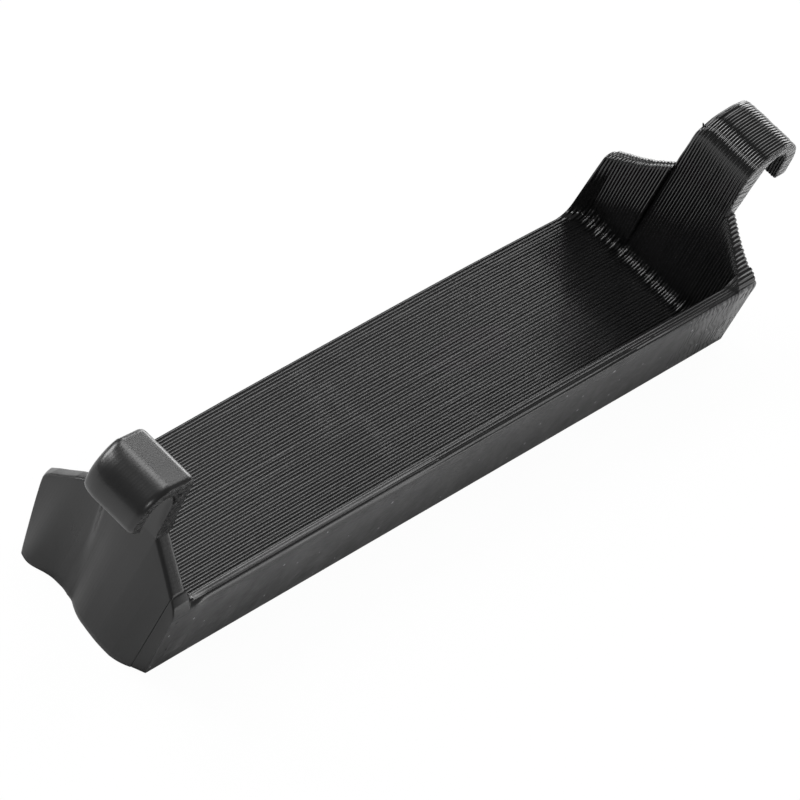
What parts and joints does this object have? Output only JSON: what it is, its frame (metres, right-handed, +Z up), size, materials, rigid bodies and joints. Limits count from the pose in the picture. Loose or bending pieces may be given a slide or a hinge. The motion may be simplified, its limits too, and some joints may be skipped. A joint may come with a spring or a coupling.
{
  "type": "rc car battery tray",
  "caption": "Narrow printed tray that holds a flat battery pack lengthwise and hangs from hooks at the tops of its end walls.",
  "frame": {"origin": "middle of the underside of the floor", "axes": "+X along the tray, +Y across it towards the open side, +Z up out of the tray"},
  "size_m": [0.063, 0.012, 0.0138],
  "materials": {
    "black_print": "glossy, ridged by print layers"
  },
  "bodies": {
    "root": {"battery_tray": "black_print"}
  },
  "joints": []
}
